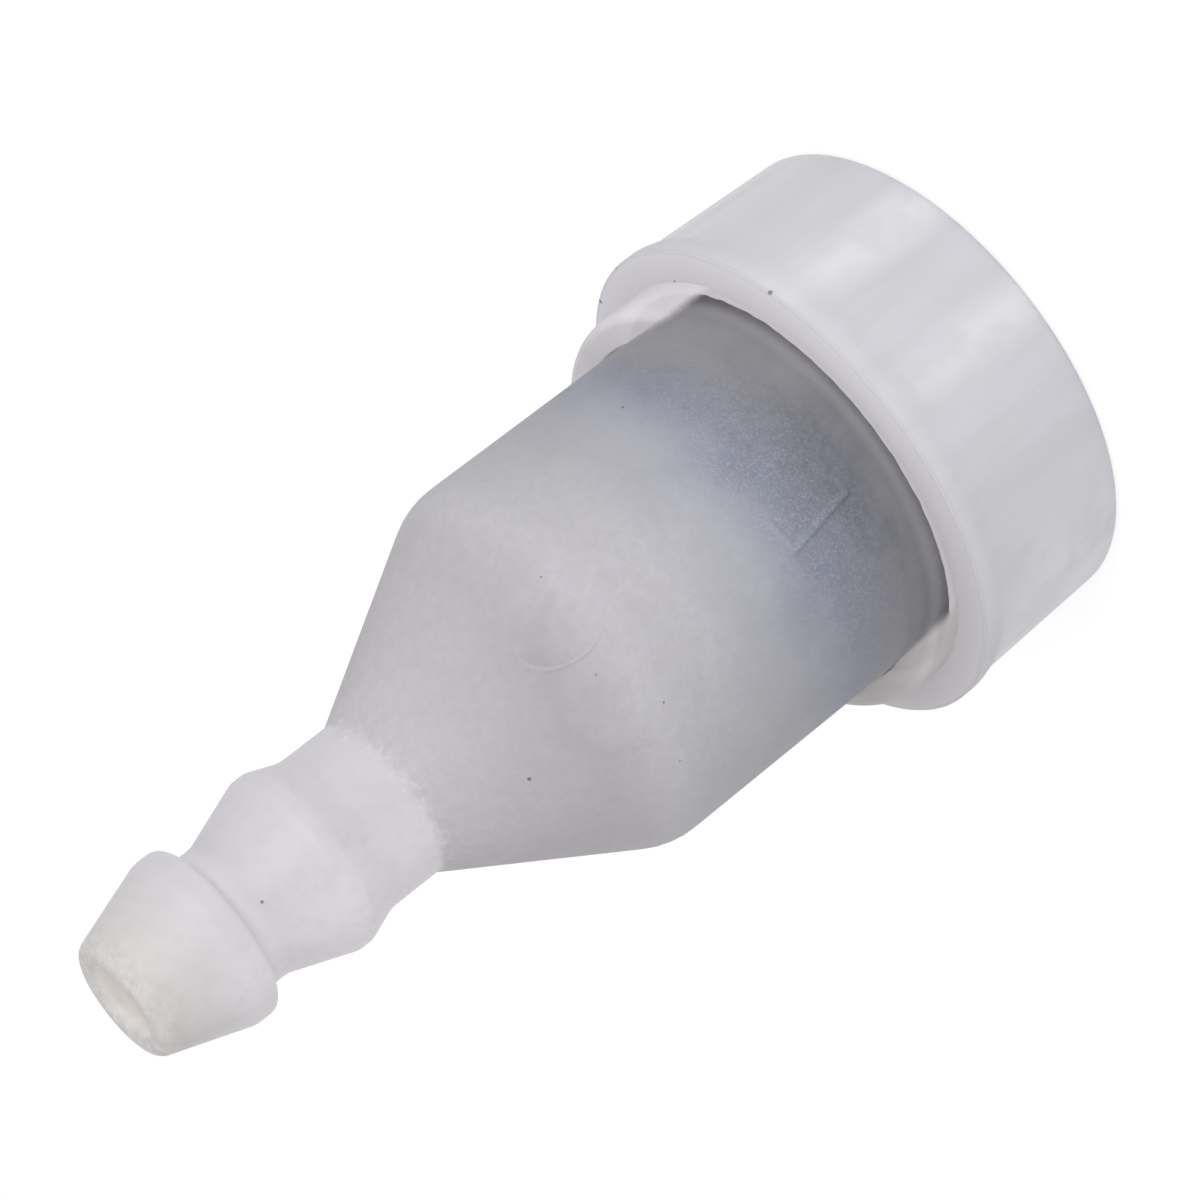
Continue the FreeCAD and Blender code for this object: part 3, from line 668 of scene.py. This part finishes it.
    # The passage and the groove behind the front barb have a painted glow, standing in for the light that
    # the wall lets through.
    inside = spread(tree, distance_from_axis(tree, x, y), 2.15 * MM, 2.5 * MM, 1.0, 0.0)
    inside = node_math(tree, "MULTIPLY", inside, tail)
    groove = near_value(tree, z, 54.15 * MM, 1.1 * MM)
    glow = mix_colours(tree, groove, NO_GLOW, GROOVE_GLOW)
    tree.links.new(mix_colours(tree, inside, glow, INSIDE_GLOW), shader.inputs["Emission Color"])
    shader.inputs["Emission Strength"].default_value = 1.0
    material.cycles.emission_sampling = "NONE"
    fine = noise(tree, place, 4200, detail=3, roughness=0.65)
    quiet = spread(tree, tail, 0, 1, 1.0, 0.2)
    bump(tree, shader, node_math(tree, "MULTIPLY", fine, quiet), 0.55, 0.05 * MM)
    return material


def collar_material():
    material, tree, shader, place = new_material("milky_collar_finish")
    x, y, z = separate(tree, place)
    streak = noise(tree, place, 900, detail=4, stretch=(1, 1, 0.06), roughness=0.6)
    cloud = noise(tree, place, 130, detail=2)
    tone = spread(tree, cloud, 0.35, 0.65, 0.0, 0.4)
    colour = mix_colours(tree, tone, COLLAR_WHITE, COLLAR_SHADE)
    lines = noise(tree, place, 420, detail=5, stretch=(1, 1, 0.1), roughness=0.65)
    lines = spread(tree, lines, 0.4, 0.66, 0.0, 0.35)
    colour = mix_colours(tree, lines, colour, LINE_GREY)
    # Broad painted highlights along the axis.
    turn = turn_round_axis(tree, x, y)
    highlight_patches = spread(tree, noise(tree, place, 260, detail=3), 0.35, 0.6, 0.35, 1.0)
    fading = spread(tree, z, 5 * MM, COLLAR_FRONT, 1.0, 0.35)
    highlight_patches = node_math(tree, "MULTIPLY", highlight_patches, fading)
    for centre, width, strength in PAINTED_HIGHLIGHTS:
        share = node_math(tree, "MULTIPLY", near_value(tree, turn, centre, width), strength)
        colour = mix_colours(tree, node_math(tree, "MULTIPLY", share, highlight_patches), colour, COLLAR_HIGHLIGHT)
    front = spread(tree, z, COLLAR_FRONT - 0.12 * MM, COLLAR_FRONT - 0.02 * MM)
    # Painted light and shade: the lip is painted paler towards +X and darker towards -X.
    lip = mix_colours(tree, spread(tree, x, -14 * MM, 4 * MM), LIP_RIGHT_PAINTED_SHADE, LIP_LEFT_PAINTED_LIGHT)
    colour = mix_colours(tree, front, colour, lip)
    across = distance_from_axis(tree, x, y)
    # Painted highlight: a pale band on the lip along the hole's edge.
    rim = near_value(tree, across, FRONT_HOLE + 0.1 * MM, 0.8 * MM)
    colour = mix_colours(tree, node_math(tree, "MULTIPLY", rim, front), colour, LIP_EDGE_HIGHLIGHT)
    # The lip's outer corner is painted darker, as it would stand out too bright under the lamps.
    corner = near_value(tree, z, COLLAR_FRONT, 0.32 * MM)
    corner = node_math(tree, "MULTIPLY", corner, near_value(tree, across, LIP_RADIUS, 0.32 * MM))
    colour = mix_colours(tree, node_math(tree, "MULTIPLY", corner, 0.65), colour, LIP_CORNER)
    colour = specks(tree, place, colour, COLLAR_SPECKS, SPECK)
    tree.links.new(colour, shader.inputs["Base Color"])
    gloss = spread(tree, streak, 0.3, 0.7, 0.30, 0.44)
    dull = spread(tree, z, COLLAR_FRONT - 2.2 * MM, COLLAR_FRONT - 0.8 * MM, 0.0, 0.3)
    tree.links.new(node_math(tree, "ADD", gloss, dull), shader.inputs["Roughness"])
    shader.inputs["Specular IOR Level"].default_value = 0.4
    soften(shader, 0.3, 3.0)
    bump(tree, shader, streak, 0.35, 0.05 * MM)
    return material


def ring_material():
    material, tree, shader, place = new_material("clear_ring_finish")
    x, y, z = separate(tree, place)
    # Painted light and shade: the ring is painted paler towards +X and darker towards -X.
    shade = spread(tree, x, -9 * MM, 9 * MM)
    colour = mix_colours(tree, shade, RING_RIGHT_PAINTED_SHADE, RING_LEFT_PAINTED_LIGHT)
    tone = spread(tree, noise(tree, place, 300, detail=3), 0.3, 0.7, 0.0, 0.2)
    colour = mix_colours(tree, tone, colour, RING_GREY)
    tree.links.new(colour, shader.inputs["Base Color"])
    shader.inputs["Roughness"].default_value = 0.55
    shader.inputs["Specular IOR Level"].default_value = 0.15
    # Clear in front of the chamber, and milky where the line of sight goes past the chamber.
    outwards = tree.nodes.new("ShaderNodeCombineXYZ")
    tree.links.new(x, outwards.inputs[0])
    tree.links.new(y, outwards.inputs[1])
    unit = tree.nodes.new("ShaderNodeVectorMath")
    unit.operation = "NORMALIZE"
    tree.links.new(outwards.outputs[0], unit.inputs[0])
    facing = tree.nodes.new("ShaderNodeLayerWeight")
    facing.inputs["Blend"].default_value = 0.5
    tree.links.new(unit.outputs[0], facing.inputs["Normal"])
    limb_sine = node_math(tree, "DIVIDE", CHAMBER_RADIUS, distance_from_axis(tree, x, y))
    limb_square = node_math(tree, "SUBTRACT", 1, node_math(tree, "MULTIPLY", limb_sine, limb_sine))
    limb = node_math(tree, "MULTIPLY", node_math(tree, "SQRT", limb_square, 0), SIGHT_SLOPE)
    past = node_math(tree, "ADD", facing.outputs["Facing"], limb)
    milky = spread(tree, past, 0.95, 1.03, 0.03, 0.85)
    # Light that falls through the ring is hardly held back.
    path = tree.nodes.new("ShaderNodeLightPath")
    passing = node_math(tree, "MAXIMUM", path.outputs["Is Shadow Ray"], path.outputs["Is Diffuse Ray"])
    tree.links.new(mix_linked(tree, passing, milky, 0.08), shader.inputs["Alpha"])
    bump(tree, shader, noise(tree, place, 1200, detail=3), 0.2, 0.03 * MM)
    return material


def plain_plastic(name, colour, shade, scale, roughness, weight):
    """Moulded plastic with a faint cloudiness."""
    material, tree, shader, place = new_material(name)
    tone = spread(tree, noise(tree, place, scale, detail=3), 0.3, 0.7)
    tree.links.new(mix_colours(tree, tone, colour, shade), shader.inputs["Base Color"])
    fine = noise(tree, place, scale * 12, detail=3)
    gloss = spread(tree, fine, 0.3, 0.7, roughness - 0.06, roughness + 0.06)
    tree.links.new(gloss, shader.inputs["Roughness"])
    soften(shader, weight, 1.5)
    bump(tree, shader, fine, 0.2, 0.02 * MM)
    return material


def rubber_material():
    material, tree, shader, place = new_material("black_rubber_finish")
    fine = noise(tree, place, 5000, detail=4)
    tone = spread(tree, noise(tree, place, 500, detail=4), 0.3, 0.7)
    colour = mix_colours(tree, tone, RUBBER_BLACK, RUBBER_GREY)
    tree.links.new(colour, shader.inputs["Base Color"])
    tree.links.new(spread(tree, fine, 0.3, 0.7, 0.62, 0.82), shader.inputs["Roughness"])
    bump(tree, shader, fine, 0.35, 0.03 * MM)
    return material


def steel_material():
    material, tree, shader, place = new_material("spring_steel_finish")
    drawn = noise(tree, place, 2500, detail=4)
    colour = mix_colours(tree, spread(tree, drawn, 0.3, 0.7), STEEL_DARK, STEEL_BRIGHT)
    tree.links.new(colour, shader.inputs["Base Color"])
    tree.links.new(spread(tree, drawn, 0.3, 0.7, 0.22, 0.36), shader.inputs["Roughness"])
    shader.inputs["Metallic"].default_value = 1.0
    bump(tree, shader, drawn, 0.2, 0.01 * MM)
    return material


# Dark specks in the plastic: turn from -Y towards -X in degrees; level, radius and size in millimetres.
BODY_SPECKS = [
    (30.4, 37.8, 7.9, 0.16),
    (44.4, 30.9, 11.8, 0.10),
    (9.2, 32.6, 10.8, 0.10),
    (25.6, 30.5, 11.9, 0.10),
    (4.8, 53.0, 4.25, 0.13),
    (-21.6, 31.6, 11.4, 0.08),
    (-48.0, 20.5, 12.0, 0.12),
]
COLLAR_SPECKS = [
    (-86.8, 10.1, 15.8, 0.14),
    (-34.0, 11.6, 15.9, 0.2),
    (-69.0, 11.7, 13.8, 0.16),
    (-90.0, 11.7, 15.9, 0.16),
    (-106.0, 11.7, 15.7, 0.2),
    (72.0, 11.7, 13.3, 0.16),
    (84.0, 11.7, 13.4, 0.2),
]
# Painted highlights on the collar: turn and half width in degrees, and strength.
PAINTED_HIGHLIGHTS = [
    (-31.0, 10.0, 0.9),
    (0.0, 9.0, 0.8),
    (62.0, 40.0, 0.8),
]

body = make_body_shell()
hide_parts("valve_body")
paint(body, body_material())
collar = make_collar_shell()
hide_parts("inlet_collar")
paint(collar, collar_material())
ring = make_clear_ring()
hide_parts("retaining_ring")
paint(ring, ring_material())
coil = make_return_coil()
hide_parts("return_spring")
steel = steel_material()
paint(coil, steel)
for piece in (body, collar, ring, coil):
    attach(piece, "housing")
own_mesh(coil)

milky_plate = plain_plastic("milky_plate_finish", PLATE_PALE, PLATE_SHADE, 400, 0.45, 0.2)
white_plastic = plain_plastic("white_plastic_finish", PLASTIC_WHITE, PLASTIC_SHADE, 300, 0.42, 0.1)
rubber = rubber_material()
FINISHES = {
    "seat_plate": milky_plate,
    "body_gasket": rubber,
    "inlet_washer": rubber,
    "poppet_seal": rubber,
    "spring_guide": white_plastic,
    "poppet": white_plastic,
    "seal_clip": steel,
}
for node, material in FINISHES.items():
    for index in range(len(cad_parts[node].material_slots)):
        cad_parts[node].material_slots[index].material = material


def camera_rays(tree):
    """1 for what the camera sees, straight or in gloss and glass, else 0."""
    path = tree.nodes.new("ShaderNodeLightPath")
    seen = node_math(tree, "MAXIMUM", path.outputs["Is Camera Ray"], path.outputs["Is Glossy Ray"])
    return node_math(tree, "MAXIMUM", seen, path.outputs["Is Transmission Ray"])


def make_floor():
    """White floor that keeps a soft shadow."""
    half = 3.0
    mesh = bpy.data.meshes.new("floor")
    corners = [(-half, -half, 0), (half, -half, 0), (half, half, 0), (-half, half, 0)]
    mesh.from_pydata(corners, [], [(0, 1, 2, 3)])
    floor = bpy.data.objects.new("floor", mesh)
    bpy.context.scene.collection.objects.link(floor)
    floor.location.z = -0.05 * MM
    material = bpy.data.materials.new("floor_finish")
    material.use_nodes = True
    tree = material.node_tree
    tree.nodes.clear()
    output = tree.nodes.new("ShaderNodeOutputMaterial")
    plain = tree.nodes.new("ShaderNodeBsdfDiffuse")
    plain.inputs["Color"].default_value = (0.8, 0.8, 0.8, 1)
    faint = tree.nodes.new("ShaderNodeBsdfDiffuse")
    faint.inputs["Color"].default_value = (0.3, 0.3, 0.3, 1)
    glow = tree.nodes.new("ShaderNodeEmission")
    glow.inputs["Strength"].default_value = 0.79
    both = tree.nodes.new("ShaderNodeAddShader")
    tree.links.new(faint.outputs[0], both.inputs[0])
    tree.links.new(glow.outputs[0], both.inputs[1])
    choice = tree.nodes.new("ShaderNodeMixShader")
    tree.links.new(camera_rays(tree), choice.inputs[0])
    tree.links.new(plain.outputs[0], choice.inputs[1])
    tree.links.new(both.outputs[0], choice.inputs[2])
    tree.links.new(choice.outputs[0], output.inputs["Surface"])
    floor.data.materials.append(material)


def make_world():
    """Pale even light, and white behind everything that the camera sees."""
    world = bpy.data.worlds.new("pale_studio")
    bpy.context.scene.world = world
    world.use_nodes = True
    tree = world.node_tree
    tree.nodes.clear()
    output = tree.nodes.new("ShaderNodeOutputWorld")
    light = tree.nodes.new("ShaderNodeBackground")
    light.inputs["Color"].default_value = (0.97, 0.98, 1.0, 1)
    light.inputs["Strength"].default_value = 0.56
    white = tree.nodes.new("ShaderNodeBackground")
    white.inputs["Strength"].default_value = 1.0
    choice = tree.nodes.new("ShaderNodeMixShader")
    path = tree.nodes.new("ShaderNodeLightPath")
    tree.links.new(path.outputs["Is Camera Ray"], choice.inputs[0])
    tree.links.new(light.outputs[0], choice.inputs[1])
    tree.links.new(white.outputs[0], choice.inputs[2])
    tree.links.new(choice.outputs[0], output.inputs["Surface"])


def soft_lamp(name, towards, distance, width, watts, target):
    """Large square lamp that looks at the valve."""
    data = bpy.data.lights.new(name, "AREA")
    data.size = width
    data.energy = watts
    lamp = bpy.data.objects.new(name, data)
    bpy.context.scene.collection.objects.link(lamp)
    direction = Vector(towards).normalized()
    lamp.location = target + direction * distance
    lamp.rotation_mode = "QUATERNION"
    lamp.rotation_quaternion = (-direction).to_track_quat("-Z", "Y")


def make_camera():
    """The photograph's viewing angle: the valve is slanted in the frame, its tail at the lower left."""
    data = bpy.data.cameras.new("photo_camera")
    data.lens = 126
    data.sensor_width = 36
    camera = bpy.data.objects.new("photo_camera", data)
    bpy.context.scene.collection.objects.link(camera)
    right = Vector((-0.6132, -0.3092, -0.7269))
    up = Vector((0.7899, -0.2400, -0.5643))
    back = right.cross(up).normalized()
    up = back.cross(right).normalized()
    turn = Matrix((right.normalized(), up, back)).transposed()
    camera.rotation_mode = "QUATERNION"
    camera.rotation_quaternion = turn.to_quaternion()
    camera.location = Vector((1.3, -217.9, 117.9)) * MM
    data.clip_start = 0.01
    data.clip_end = 20
    bpy.context.scene.camera = camera


make_camera()
make_floor()
make_world()
VALVE_MIDDLE = Vector((0, 0, 25 * MM))
soft_lamp("key", (0.35, -0.9, 0.3), 0.6, 0.45, 1.8, VALVE_MIDDLE)
soft_lamp("fill", (-0.8, 0.1, 0.55), 0.6, 0.45, 0.35, VALVE_MIDDLE)
soft_lamp("top", (0.1, 0.0, 1.0), 0.6, 0.45, 0.6, VALVE_MIDDLE)
bpy.context.scene.view_settings.view_transform = "Standard"
